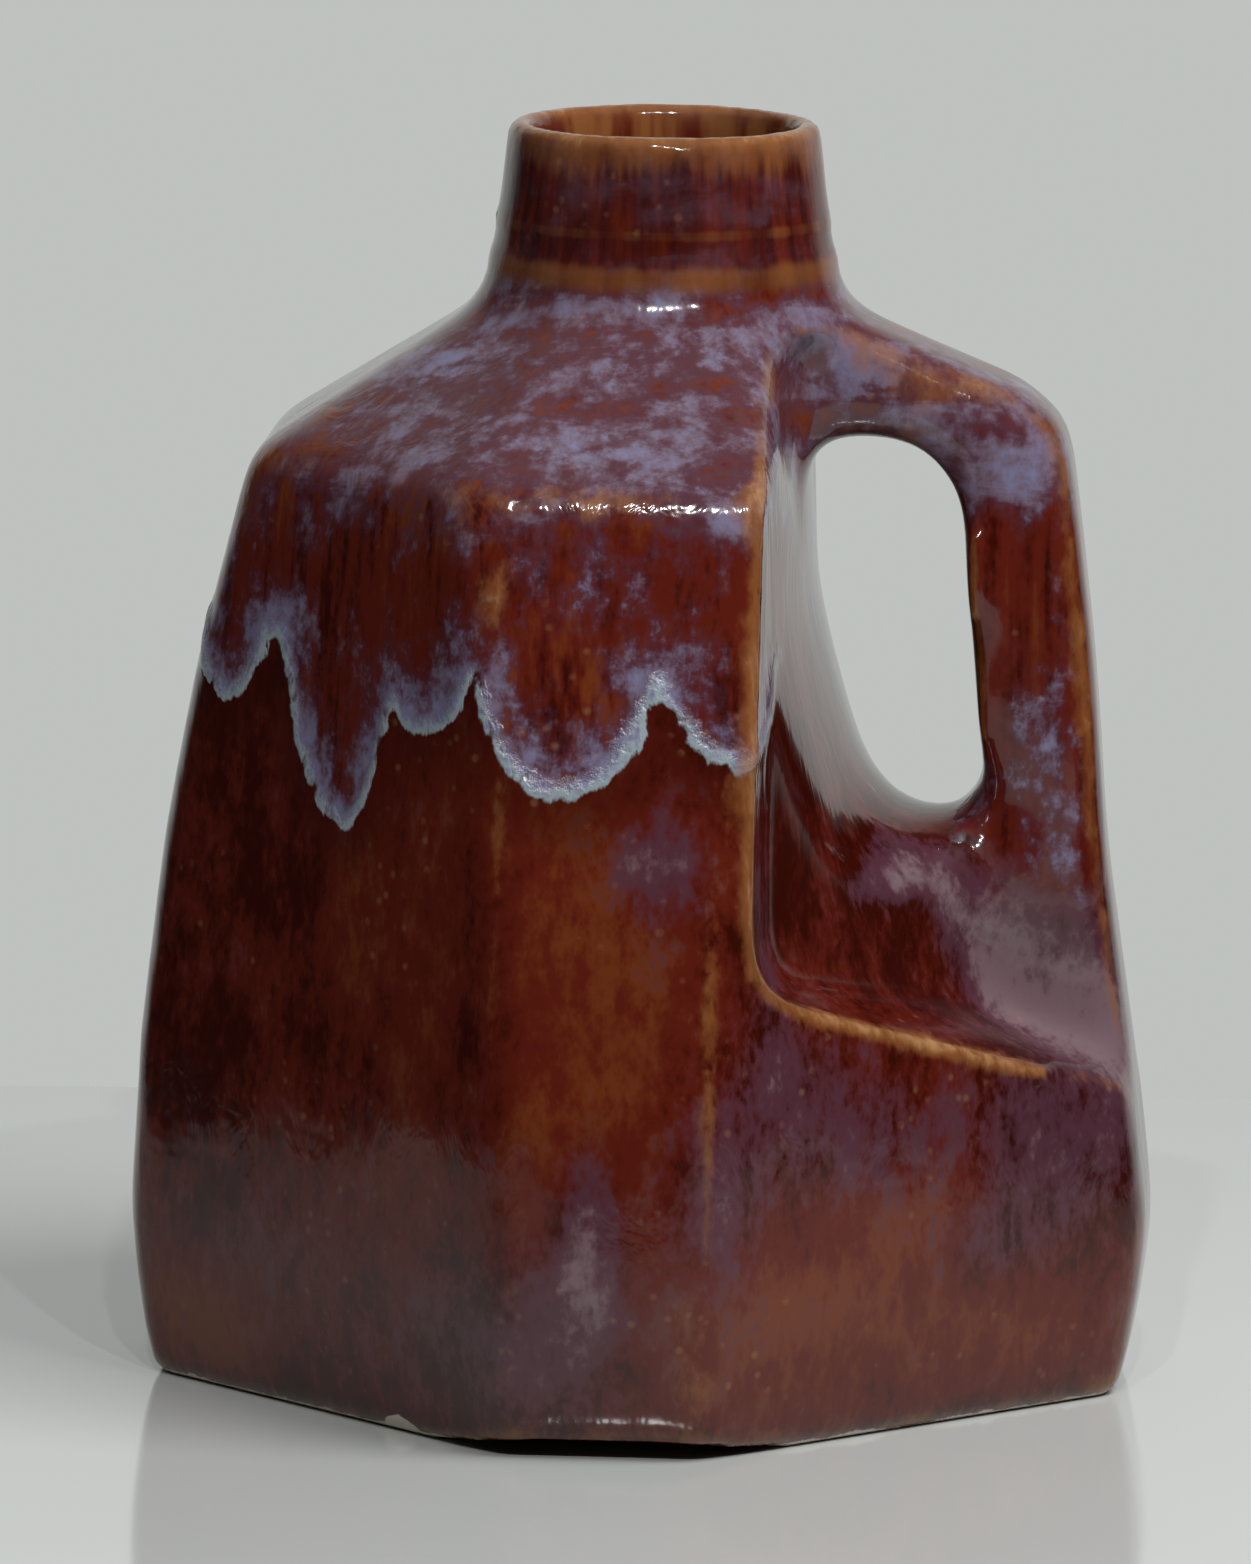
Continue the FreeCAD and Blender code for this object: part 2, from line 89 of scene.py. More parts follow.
BLUE = (
    (-140, 129, 10, 3, 1.0), (-90, 131, 12, 2.5, 0.8), (-98, 122, 20, 3, 0.9), (-75, 118, 12, 4, 0.7),
    (-95, 107, 18, 5, 0.5), (-150, 108, 14, 4, 0.3), (-60, 125, 6, 5, 0.6), (-11.6, 82, 1.5, 14, 0.8),
    (-10.3, 68, 1.2, 7, 0.8), (-22, 127, 4, 4, 0.9), (-12, 117, 3, 4, 0.5), (-70, 132, 12, 2, 0.8),
    (90, 120, 22, 4, 0.9), (135, 130, 12, 3, 0.9), (60, 130, 10, 3, 0.7), (120, 106, 16, 5, 0.5),
    (11.6, 88, 1.5, 14, 0.8), (170, 122, 14, 4, 0.8), (35, 121, 7, 4, 0.6), (150, 116, 10, 4, 0.6),
)
THIN = (
    (-21, 131, 5, 3, 0.5), (-14, 126, 5, 3, 0.8), (-9, 116, 1.3, 8, 0.5), (-142, 118, 5, 2, 0.5),
    (-93, 116, 13, 2.4, 0.95), (-100, 112, 9, 5, 0.35), (-125, 124, 12, 3, 0.4), (-106, 106, 2.5, 9, 0.9),
    (-152, 104, 3, 9, 0.6), (-128, 108, 2, 8, 0.4), (-76, 106, 2, 8, 0.6), (-103.5, 58, 0.9, 24, 0.7),
    (-78.3, 46, 0.8, 20, 0.9), (-70, 118, 4, 4, 0.4), (12, 127, 6, 4, 0.8), (20, 131, 5, 3, 0.6),
    (95, 117.5, 14, 1.5, 0.5), (140, 118, 8, 2, 0.5), (80, 50, 1.2, 18, 0.4), (-55, 127, 5, 3, 0.4),
    (170, 116, 8, 3, 0.4),
)
BARED = (
    (-119.5, 0.3, 3.4, 1.9, 1.6), (-112, 0.2, 3.0, 0.9, 1.0), (-60, 0.1, 10, 0.5, 0.6),
    (60, 0.2, 8, 0.6, 0.7),
)
NECK_RINGS = ((140.9, 1.3, 0.20), (145.7, 0.7, 0.18))  # level, half width and height in mm
NECK_AXIS = 1.4  # how far the neck stands towards the handle, in mm
NECK_WALL = (17.8, 27)  # radii that hold the neck's outer wall and not its bore, in mm
DRIP_RADIUS = 55.0  # of the cylinder that distances from the drips are measured on, in mm
CLOUD_RADIUS = 58.0  # of the cylinder that clouds are laid on, in mm
BEAD_WIDTH = 1.3  # half width of a drip's raised bead, in mm
RIB_WIDTH = 1.25  # half width of the rib round a recess, in mm
# The rib's route in mm, seen from the side: an upright run, a corner of radius 8 and a slanting run.
RIB_ROUTE = (
    (17.0, 134.0), (16.7, 120.0), (16.6, 66.0), (17.4, 60.3), (19.8, 56.6), (24.5, 53.5), (51.0, 42.8),
)
RIDGE_ROUNDS = 17  # rounds of melting that tell a ridge from a hollow
LENS = 368.2  # the camera's focal length in mm
FRAMING = (2.65, 4.56)  # how far the camera sits to the left and down, in mm
LAMPS = (("left", -3), ("middle", 8), ("right", 20))  # each small lamp's bearing from -Y, in degrees
DIM_SHARE, CEILING_SHARE = 0.035, 0.45  # brightness of the room in front and of the ceiling, of the wall's


class JugSizes(bpy.types.PropertyGroup):
    """The sizes of the cast body's finish."""
    grain: FloatProperty(name="Grain", description="Spacing of the casting's mesh", default=1.28 * MM,
                         min=0.8 * MM, max=4 * MM, unit="LENGTH")
    softness: IntProperty(name="Softness", description="Rounds of melting that round every edge", default=3)
    wall_softness: IntProperty(name="Wall softness", default=20,
                               description="Further rounds that round the body and the handle")
    waviness: FloatProperty(name="Waviness", description="Depth of the walls' warp from the kiln",
                            default=0.35 * MM, unit="LENGTH")
    drip_relief: FloatProperty(name="Drip relief", description="How far a drip's bead stands out",
                               default=0.35 * MM, unit="LENGTH")
    rib_height: FloatProperty(name="Rib height", description="How far the rib round each recess stands out",
                              default=0.6 * MM, unit="LENGTH")
    notch_level: FloatProperty(name="Notch level", description="Level of the glaze's edge between two drips",
                               default=96.5 * MM, unit="LENGTH")


def colour(name, description, value):
    """A colour that the user can change."""
    return FloatVectorProperty(name=name, description=description, subtype="COLOR", size=4, min=0, max=1,
                               default=(*value, 1.0))


class JugColours(bpy.types.PropertyGroup):
    """The colours of the glaze."""
    # dark is also the colour of the painted shadow below the drips
    dark: colour("Dark glaze", "Thick maroon glaze on the walls", (0.028, 0.0022, 0.0008))
    rust: colour("Rust glaze", "Red-brown glaze above the drips", (0.080, 0.0085, 0.0042))
    orange: colour("Orange glaze", "Thin warm patches", (0.125, 0.028, 0.0070))
    amber: colour("Amber", "Thin glaze on edges", (0.190, 0.070, 0.020))
    # tan: the thinnest glaze on ridges, and partly a painted highlight on their crests; the specks use it too
    tan: colour("Tan", "Thinnest glaze on ridges", (0.420, 0.235, 0.110))
    purple: colour("Purple", "Hazy purple clouds", (0.064, 0.023, 0.036))
    blue: colour("Blue", "Milky blue mottling", (0.150, 0.145, 0.240))
    lilac: colour("Lilac", "Thickest haze beside the handle", (0.150, 0.098, 0.112))
    bead: colour("Bead", "Pale edge of a drip", (0.250, 0.300, 0.330))
    bare: colour("Bare clay", "Unglazed porcelain at the foot", (0.560, 0.500, 0.420))


class StageSizes(bpy.types.PropertyGroup):
    """The sizes of the stage."""
    azimuth: FloatProperty(name="Azimuth", description="Camera's bearing to the right of -Y",
                           default=math.radians(4.3), subtype="ANGLE")
    elevation: FloatProperty(name="Elevation", description="Camera's height above the horizon",
                             default=math.radians(9.15), subtype="ANGLE")
    roll: FloatProperty(name="Roll", description="Camera's turn about its own axis",
                        default=math.radians(0.61), subtype="ANGLE")
    distance: FloatProperty(name="Distance", description="From the camera to the jug", default=2.0,
                            unit="LENGTH")
    aim_level: FloatProperty(name="Aim level", description="Level that the camera looks at", default=0.079,
                             unit="LENGTH")
    table_depth: FloatProperty(name="Table depth", description="From the jug to the table's far edge",
                               default=0.193, unit="LENGTH")
    table_side: FloatProperty(name="Table side", default=0.27, unit="LENGTH",
                              description="From the jug to the table's left and right edge")
    table_front: FloatProperty(name="Table front", description="From the jug to the table's near edge",
                               default=0.45, unit="LENGTH")
    lamp_power: FloatProperty(name="Lamp power", description="Power of each small lamp", default=3.0,
                              unit="POWER")
    soft_power: FloatProperty(name="Soft power", description="Power of the soft light", default=13.0,
                              unit="POWER")
    wall: colour("Wall", "The pale surroundings", (0.520, 0.540, 0.525))
    table: colour("Table", "The pale table", (0.500, 0.515, 0.505))


# --- shapes -------------------------------------------------------------------------------------------------
def cast_copy(node, name, grain):
    """A new mesh object: the CAD node's surface, its doubles merged, cast again in even squares."""
    source = bmesh.new()
    source.from_mesh(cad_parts[node].data)
    bmesh.ops.remove_doubles(source, verts=source.verts, dist=0.001 * MM)
    mesh = bpy.data.meshes.new(name)
    source.to_mesh(mesh)
    source.free()
    piece = bpy.data.objects.new(name, mesh)
    bpy.context.scene.collection.objects.link(piece)
    remesh = piece.modifiers.new("Even squares", "REMESH")
    remesh.mode = "VOXEL"
    remesh.voxel_size = grain
    even = bpy.data.meshes.new_from_object(piece.evaluated_get(bpy.context.evaluated_depsgraph_get()))
    piece.modifiers.remove(remesh)
    piece.data = even
    even.name = name
    bpy.data.meshes.remove(mesh)
    return piece


def read_mesh(mesh):
    """A mesh's points in mm and its edges, as arrays."""
    points = np.empty(len(mesh.vertices) * 3)
    mesh.vertices.foreach_get("co", points)
    edges = np.empty(len(mesh.edges) * 2, np.int64)
    mesh.edges.foreach_get("vertices", edges)
    return points.reshape(-1, 3) / MM, edges.reshape(-1, 2)


def read_normals(mesh):
    """A mesh's outward directions at its points."""
    normals = np.empty(len(mesh.vertices) * 3)
    mesh.vertex_normals.foreach_get("vector", normals)
    return normals.reshape(-1, 3)


def write_points(mesh, points):
    """Puts points in mm back into a mesh."""
    mesh.vertices.foreach_set("co", (points * MM).ravel())
    mesh.update()


def melted(values, edges, rounds, share=0.5):
    """Values at points, moved a number of times by a share of the way to the mean of their neighbours."""
    columns = values.reshape(len(values), -1).copy()
    share = np.broadcast_to(np.asarray(share, float).reshape(-1, 1), (len(values), 1))
    first, second = edges.T
    count = np.bincount(edges.ravel(), minlength=len(values))[:, None]
    for _ in range(rounds):
        total = np.stack([np.bincount(first, column[second], len(values))
                          + np.bincount(second, column[first], len(values)) for column in columns.T], axis=1)
        columns += share * (total / count - columns)
    return columns.reshape(values.shape)


def smooth_step(values, low, high):
    """0 below low, 1 above high and 3t^2 - 2t^3 between them."""
    t = np.clip((values - low) / (high - low), 0, 1)
    return t * t * (3 - 2 * t)


def spread(seeds, allowed, edges):
    """Every allowed point that a walk along the edges can reach from the seeds."""
    reached = seeds & allowed
    first, second = edges.T
    size = 0
    while reached.sum() > size:
        size = reached.sum()
        for _ in range(8):
            reached[second[reached[first]]] = True
            reached[first[reached[second]]] = True
            reached &= allowed
    return reached


def bearing(points):
    """Each point's angle round the upright axis, in degrees from the handle."""
    return np.degrees(np.arctan2(points[:, 1], points[:, 0]))


def turned(angle, centre):
    """The smallest difference between an angle and a centre, in degrees."""
    return (angle - centre + 180) % 360 - 180


def drip_edge(angle, notch):
    """The glaze's lower edge over a bearing: the least, over the drips, of tip + (notch - tip) * t^2.4, where
    t is the distance from the drip's middle over its width on that side, held under the notch level."""
    level = np.full(angle.shape, notch)
    for middle, tip, before, after in DRIPS:
        away = turned(angle, middle)
        t = np.abs(away) / np.where(away < 0, before, after)
        level = np.minimum(level, tip + (notch - tip) * t ** 2.4)
    return level


def signed_flow(points, notch):
    """Distance in mm from the glaze's lower edge, on a cylinder rolled flat: above it is positive."""
    around = np.linspace(-180, 180, 1441)
    edge_level = drip_edge(around, notch)
    edge_place = np.radians(around) * DRIP_RADIUS
    angle = bearing(points)
    place = np.radians(angle) * DRIP_RADIUS
    flow = np.empty(len(points))
    for part in np.array_split(np.arange(len(points)), 60):
        across = place[part, None] - edge_place[None]
        up = points[part, 2, None] - edge_level[None]
        flow[part] = np.sqrt((across ** 2 + up ** 2).min(axis=1))
    return np.where(points[:, 2] > drip_edge(angle, notch), flow, -flow)


def clouds(points, patches):
    """The sum of soft patches: strength * exp(-(across / half width)^2 - (up / half height)^2)."""
    angle = bearing(points)
    total = np.zeros(len(points))
    for middle, level, half_width, half_height, strength in patches:
        across = np.radians(turned(angle, middle)) * CLOUD_RADIUS
        up = points[:, 2] - level
        total += strength * np.exp(-(across / half_width) ** 2 - (up / half_height) ** 2)
    return total


def rib_distance(points):
    """Distance in mm, seen from the side, from the raised rib round a recess: the least over its runs."""
    route = np.array(RIB_ROUTE)
    nearest = np.full(len(points), np.inf)
    flat = points[:, [0, 2]]
    for start, end in zip(route[:-1], route[1:]):
        run = end - start
        share = np.clip((flat - start) @ run / (run @ run), 0, 1)[:, None]
        nearest = np.minimum(nearest, np.hypot(*(flat - start - share * run).T))
    return nearest


def warp(points):
    """A slow wave over the walls between -1 and 1, from six sines with mixed directions and lengths."""
    x, y, z = points.T
    waves = (np.sin(x / 17 + 1.3) * np.sin(z / 21 + 0.4) + np.sin(y / 14 + 2.1) * np.sin(z / 16 + 1.9)
             + 0.6 * np.sin(x / 9 + y / 12 + z / 25) + 0.5 * np.sin((x - y) / 11 + z / 13 + 0.7))
    return waves / 2.6


def put_attribute(mesh, name, values):
    """Stores one number at each point of a mesh, for the glaze to read."""
    mesh.attributes.new(name, "FLOAT", "POINT").data.foreach_set("value", values.astype(np.float32))


def inner_wall(points, edges, out):
    """True on the bore and the hollow: all that a walk from the bore reaches without crossing the rim."""
    bore = (out < 17.6) & (points[:, 2] > 140) & (points[:, 2] < 152)
    return spread(bore, (points[:, 2] < 156.6) | (out < 16.2), edges)


def body_mask(points):
    """How much the walls melt: fully on the body, less at the foot, the neck and the rim."""
    level = points[:, 2]
    body = smooth_step(level, 1.5, 10) * (1 - 0.75 * smooth_step(level, 132, 139))
    body *= 1 - 0.85 * smooth_step(level, 149, 154)
    return body


def web_mask(points):
    """1 on the web below the handle's gap, 0 on the ledge, the bar and the top of the gap."""
    reach, level = points[:, 0], points[:, 2]
    web = smooth_step(reach, 18.5, 23) * (1 - smooth_step(reach, 46, 52))
    web *= smooth_step(level, 57, 64) * (1 - smooth_step(level, 86, 104))
    web *= 1 - smooth_step(reach, 38, 41.5) * smooth_step(level, 72, 80)
    return web


def handle_mask(points):
    """1 in the recesses and nearly 1 on the bar, where the top glaze runs out without a bead."""
    reach, side, level = points[:, 0], np.abs(points[:, 1]), points[:, 2]
    in_recess = (smooth_step(reach, 17.2, 19.5) * (1 - smooth_step(side, 47, 55))
                 * (1 - smooth_step(reach, 38, 43)))
    on_bar = smooth_step(reach, 38, 42) * smooth_step(level, 52, 60)
    on_bar *= 1 - smooth_step(side, 13, 20)
    return np.maximum(in_recess, 0.95 * on_bar)


def shape_jug(piece, sizes):
    """Melts the edges, warps the walls, raises rings, ribs and beads, and stores the glaze's maps.

    Points move along their normals by waviness * warp + rings + relief * exp(-(flow / bead width)^2)
    + rib height * exp(-(rib distance / rib width)^2), outside only, and stay in the CAD box.
    """
    mesh = piece.data
    points, edges = read_mesh(mesh)
    points = melted(points, edges, sizes.softness)
    write_points(mesh, points)
    ridge = ((points - melted(points, edges, RIDGE_ROUNDS)) * read_normals(mesh)).sum(axis=1)
    ridge = melted(ridge, edges, 2)
    low, high = (np.array(corner) / MM for corner in CAD_BOX)

    out = np.hypot(points[:, 0] - NECK_AXIS, points[:, 1])
    inside = inner_wall(points, edges, out)
    outside = melted(1.0 - inside, edges, 2)
    points = melted(points, edges, sizes.wall_softness, 0.5 * body_mask(points) * (1 - inside))
    web = web_mask(points)
    points = melted(points, edges, 4 * sizes.wall_softness, 0.5 * web * (1 - inside))
    write_points(mesh, points)
    normals = read_normals(mesh)

    flow = signed_flow(points, sizes.notch_level / MM)
    covered = handle_mask(points)
    bead = np.exp(-(flow / BEAD_WIDTH) ** 2) * (1 - covered) * outside
    upright = 1 - smooth_step(np.abs(normals[:, 2]), 0.6, 0.95)
    rise = sizes.waviness / MM * warp(points) * upright * smooth_step(points[:, 2], 2, 14)
    rise *= 1 - smooth_step(points[:, 2], 128, 136)
    for level, half_width, height in NECK_RINGS:
        around_neck = (out > NECK_WALL[0]) & (out < NECK_WALL[1])
        rise += height * np.exp(-((points[:, 2] - level) / half_width) ** 2) * around_neck
    rise += sizes.drip_relief / MM * bead
    facing = smooth_step(normals[:, 1] * np.sign(points[:, 1]), 0.15, 0.5)
    below_crest = 1 - smooth_step(points[:, 2], 126, 133)
    rib = np.exp(-(rib_distance(points) / RIB_WIDTH) ** 2) * facing * outside * below_crest
    rise += sizes.rib_height / MM * rib
    points = points + normals * (rise * outside)[:, None]
    points = np.clip(points, low, high)
    write_points(mesh, points)

    put_attribute(mesh, "flow", flow)
    handle_top = smooth_step(points[:, 0], 20, 26) * smooth_step(points[:, 2], 98, 112)
    ridge = ridge * (1 - 0.38 * handle_top) * (1 - 0.8 * web)
    # the rib counts as a ridge, so its crest turns tan in the glaze, which is partly a painted highlight
    put_attribute(mesh, "ridge", np.maximum(ridge, 1.05 * rib))
    put_attribute(mesh, "inside", 1 - outside)
    put_attribute(mesh, "covered", covered)
    put_attribute(mesh, "warm", clouds(points, WARM))
    put_attribute(mesh, "haze", clouds(points, HAZE))
    put_attribute(mesh, "milky", clouds(points, BLUE))
    put_attribute(mesh, "thinned", clouds(points, THIN))
    put_attribute(mesh, "bared", clouds(points, BARED))
    mesh.polygons.foreach_set("use_smooth", np.ones(len(mesh.polygons), bool))
    mesh.update()


# --- glaze --------------------------------------------------------------------------------------------------
class Wire:
    """A socket of a material that Python's arithmetic can be done on."""

    def __init__(self, board, socket):
        self.board, self.socket = board, socket

    def _math(self, operation, *values):
        return self.board.node("ShaderNodeMath", {"operation": operation}, dict(enumerate(values)))

    def __add__(self, other):
        return self._math("ADD", self, other)

    def __sub__(self, other):
        return self._math("SUBTRACT", self, other)

    def __rsub__(self, other):
        return self._math("SUBTRACT", other, self)

    def __mul__(self, other):
        return self._math("MULTIPLY", self, other)

    def __truediv__(self, other):
        return self._math("DIVIDE", self, other)

    def __neg__(self):
        return self._math("MULTIPLY", self, -1.0)

    def __abs__(self):
        return self._math("ABSOLUTE", self)

    __radd__, __rmul__ = __add__, __mul__

    def step(self, low, high):
        """0 at low and 1 at high, eased between them."""
        settings = {"interpolation_type": "SMOOTHSTEP"}
        return self.board.node("ShaderNodeMapRange", settings, {0: self, 1: low, 2: high, 3: 0.0, 4: 1.0})

    def times(self, factors):
        """A vector with each of its parts scaled."""
        return self.board.node("ShaderNodeVectorMath", {"operation": "MULTIPLY"}, {0: self, 1: factors})


class Board:
    """The nodes of one material or world."""

    def __init__(self, owner):
        self.owner = owner
        self.owner.use_nodes = True
        self.nodes = self.owner.node_tree.nodes
        self.nodes.clear()

    def node(self, kind, settings=None, inputs=None, output=0):
        """A node of a type, with its settings and its sockets' values or wires; gives one output."""
        made = self.nodes.new(kind)
        for key, value in (settings or {}).items():
            setattr(made, key, value)
        for key, value in (inputs or {}).items():
            if isinstance(value, Wire):
                self.owner.node_tree.links.new(value.socket, made.inputs[key])
            else:
                made.inputs[key].default_value = value
        return Wire(self, made.outputs[output]) if made.outputs else None

    def attribute(self, name):
        """A number that the mesh stores at each point."""
        return self.node("ShaderNodeAttribute", {"attribute_name": name}, output="Fac")

    def noise(self, place, scale, detail=3.0, roughness=0.55, distortion=0.0):
        """Noise about 0.5, stretched to reach 0 and 1, with a scale in waves per metre."""
        plain = self.node("ShaderNodeTexNoise", {}, {"Vector": place, "Scale": scale, "Detail": detail,
                                                     "Roughness": roughness, "Distortion": distortion})
        return (plain - 0.5) * 2.2 + 0.5

    def blend(self, base, over, share):
        """One colour laid over another by a share."""
        return self.node("ShaderNodeMix", {"data_type": "RGBA"}, {0: share, 6: base, 7: over}, output=2)

    def finish(self, shader, kind="ShaderNodeOutputMaterial"):
        """Wires the shader to the output."""
        self.node(kind, {}, {"Surface": shader})
        return self.owner


def glaze(colours):
    """Glossy glaze: maroon walls, a rust layer that flowed from the top in drips with milky blue edges and a
    painted shadow below them, amber where an edge thins it, tan on the highest crests that is partly a
    painted highlight, purple haze where it pools, and bare clay at the foot."""
    board = Board(bpy.data.materials.new("flowing_glaze"))
    place = board.node("ShaderNodeTexCoord", output="Object")
    level = board.node("ShaderNodeSeparateXYZ", {}, {0: place}, output=2) / MM
    drawn = place.times((1.0, 1.0, 0.07))
    ragged = place.times((1.0, 1.0, 0.55))
    fine_streaks = board.noise(drawn, 620.0, 2.0)
    streaks = board.noise(drawn, 190.0, 3.0)
    mottle = board.noise(ragged, 250.0, 4.0, 0.65)
    fine_mottle = board.noise(place, 620.0, 4.0, 0.65)
    patches = board.noise(place, 45.0, 3.0, 0.5, 0.4)
    drift = board.noise(ragged, 110.0, 4.0, 0.6, 0.6)
    layered = board.noise(place.times((1.0, 1.0, 2.4)), 75.0, 4.0, 0.6, 0.5)
    grain = board.noise(place.times((1.0, 1.0, 0.6)), 900.0, 3.0)

    flow = board.attribute("flow") + (drift - 0.5) * 2.6 + (mottle - 0.5) * 1.5
    ridge = board.attribute("ridge")
    covered = board.attribute("covered")
    inside = board.attribute("inside")

    # walls below the drips
    warm = (board.attribute("warm") + (patches - 0.5) * 0.9 + (streaks - 0.5) * 0.35 + (mottle - 0.5) * 0.8
            + (grain - 0.5) * 0.5)
    walls = board.blend(colours.dark, colours.rust, warm.step(-0.35, 0.45))
    walls = board.blend(walls, colours.orange, (warm + (mottle - 0.5) * 0.5).step(0.40, 1.35) * 0.82)
    haze = (board.attribute("haze") + (mottle - 0.5) * 0.8 + (patches - 0.5) * 0.4 + (grain - 0.5) * 0.5
            + (streaks - 0.5) * 0.15)
    walls = board.blend(walls, colours.purple, haze.step(0.18, 0.85) * 0.85)
    walls = board.blend(walls, colours.lilac, (haze + (fine_mottle - 0.5) * 0.4).step(0.9, 1.7) * 0.8)
    # painted shadow below the drips: the walls are darkened towards the dark glaze from the glaze's lower
    # edge down to about 9 mm below it, as if shaded by the beads
    painted_drip_shadow = (flow + 9.0).step(0.0, 7.0) * (1 - covered)
    walls = board.blend(walls, colours.dark, painted_drip_shadow * 0.55)

    # the layer that flowed down from the top
    steep = 1 - level.step(110.0, 122.0) * 0.7
    rusty = ((streaks - 0.5) * 0.8 + (fine_streaks - 0.5) * 0.8) * steep + (grain - 0.5) * 0.4 + 0.45
    over = board.blend(colours.dark, colours.rust, rusty.step(-0.1, 0.55))
    shoulder = (level.step(106.0, 117.0)) * 0.5
    rusty_patches = (rusty + shoulder + (patches - 0.5) * 0.8).step(0.62, 1.35)
    over = board.blend(over, colours.orange, rusty_patches * 0.8)
    near_edge = (1 - flow.step(0.0, 11.0)) * (1 - covered)
    milky = (board.attribute("milky") * 0.6 + near_edge * 0.75 + (mottle - 0.5) * 0.9
             + (drift - 0.5) * 0.35 + (layered - 0.5) * shoulder * 2.2 + (fine_mottle - 0.5) * 0.4)
    over = board.blend(over, colours.purple, (milky + shoulder * 1.3).step(0.05, 0.70) * 0.85)
    bands = (milky + shoulder * 1.0 + (layered - 0.5) * 0.7 + (mottle - 0.5) * 0.3).step(0.35, 1.2)
    over = board.blend(over, board.blend(colours.lilac, colours.blue, 0.35), bands * 0.65)
    milk = (milky + shoulder * 0.3 + (fine_mottle - 0.5) * 0.3).step(0.36, 1.25)
    over = board.blend(over, colours.blue, milk * 0.9)

    skin = board.blend(walls, over, (flow * (1 - covered * 0.9)).step(-0.5, 0.6))
    bead = flow.step(-0.8, -0.4) * (1 - (flow + (fine_mottle - 0.5) * 2.0).step(0.1, 1.7)) * (1 - covered)
    bead = bead * (drift + (mottle - 0.5) * 0.5).step(0.12, 0.42)
    froth = board.blend(colours.blue, colours.bead, (fine_mottle - flow * 0.25).step(0.0, 0.6))
    skin = board.blend(skin, froth, bead * 0.92)

    # neck: a maroon band between amber ones
    neck = level.step(138.0, 140.0)
    ring = 1 - abs(level - 145.7).step(0.3, 1.1)
    band = ((level + (fine_streaks - 0.5) * 2.4).step(150.5, 155.5) + (1 - level.step(140.8, 143.0))
            + ring * 0.55)
    neck_tone = board.blend(colours.dark, colours.rust, (fine_streaks + streaks * 0.6 - 0.3).step(0.0, 1.1))
    neck_tone = board.blend(neck_tone, colours.amber, (band + (streaks - 0.5) * 0.9).step(0.2, 1.4) * 0.75)
    skin = board.blend(skin, neck_tone, neck * 0.85)

    # thin on ridges: amber, then tan on the highest crests, which stands for the thinnest glaze and partly
    # for a painted highlight
    thin = (ridge + board.attribute("thinned") * 0.5 * (mottle + 0.5) + (drift - 0.5) * 0.35
            + (mottle - 0.5) * 0.35 + (patches - 0.5) * 0.3 + (grain - 0.5) * 0.15)
    skin = board.blend(skin, colours.amber, thin.step(0.34, 0.9) * (0.62 + streaks * 0.25))
    # partly a painted highlight: the highest ridges and the rib's crest turn tan
    skin = board.blend(skin, colours.tan, (thin + (fine_streaks - 0.5) * 0.4).step(0.8, 1.35) * 0.5)
    skin = board.blend(skin, colours.dark, (-thin).step(0.35, 1.2) * 0.5)

    # inside, specks and foot
    skin = board.blend(skin, board.blend(colours.rust, colours.amber, streaks.step(0.35, 0.7)), inside * 0.9)
    dots = board.node("ShaderNodeTexVoronoi", {"feature": "F1"}, {"Vector": place, "Scale": 330.0})
    specks = (1 - dots.step(0.05, 0.25)) * (patches + fine_mottle * 0.5).step(0.74, 1.1) * 0.15
    skin = board.blend(skin, colours.tan, specks)
    foot = 1 - (level + (drift - 0.5) * 0.9 + (fine_mottle - 0.5) * 0.3).step(0.5, 0.8)
    foot = board.node("ShaderNodeMath", {"operation": "MAXIMUM"},
                      {0: foot, 1: (board.attribute("bared") + (mottle - 0.5) * 0.25).step(0.5, 0.62)})
    skin = board.blend(skin, colours.bare, foot)

    open_face = 1 - covered
    dimples = 0.14 + open_face * (0.15 + 0.7 * level.step(106.0, 113.0) * (1 - level.step(122.0, 128.0)))
    relief = (bead * 0.9 + flow.step(-1.0, 1.5) * open_face * 0.6 + (fine_streaks - 0.5) * 0.05
              + (patches - 0.5) * 0.4 + (drift - 0.5) * dimples)
    normal = board.node("ShaderNodeBump", {}, {"Strength": 0.5, "Distance": 0.45 * MM, "Height": relief})
    roughness = 0.08 + bead * 0.12 + foot * 0.5 + mottle * 0.03
    return board.finish(board.node("ShaderNodeBsdfPrincipled", {}, {
        "Base Color": skin, "Roughness": roughness, "IOR": 1.52, "Normal": normal}))


# --- stage --------------------------------------------------------------------------------------------------
def plane_mesh(name, corners):
    """One four-sided face."""
    mesh = bpy.data.meshes.new(name)
    mesh.from_pydata(corners, [], [tuple(range(len(corners)))])
    return mesh


def table_material(stage):
    """A pale, faintly glossy table top with a barely seen grain."""
    board = Board(bpy.data.materials.new("pale_table"))
    place = board.node("ShaderNodeTexCoord", output="Object")
    grain = board.noise(place, 6.0, 2.0)
    return board.finish(board.node("ShaderNodeBsdfPrincipled", {}, {
        "Base Color": board.blend(stage.table, shaded(stage.table, 0.94), grain), "Roughness": 0.09,
        "IOR": 1.75}))


def shaded(tint, share):
    """A colour made darker by a share."""
    return (*(share * part for part in tint[:3]), 1.0)


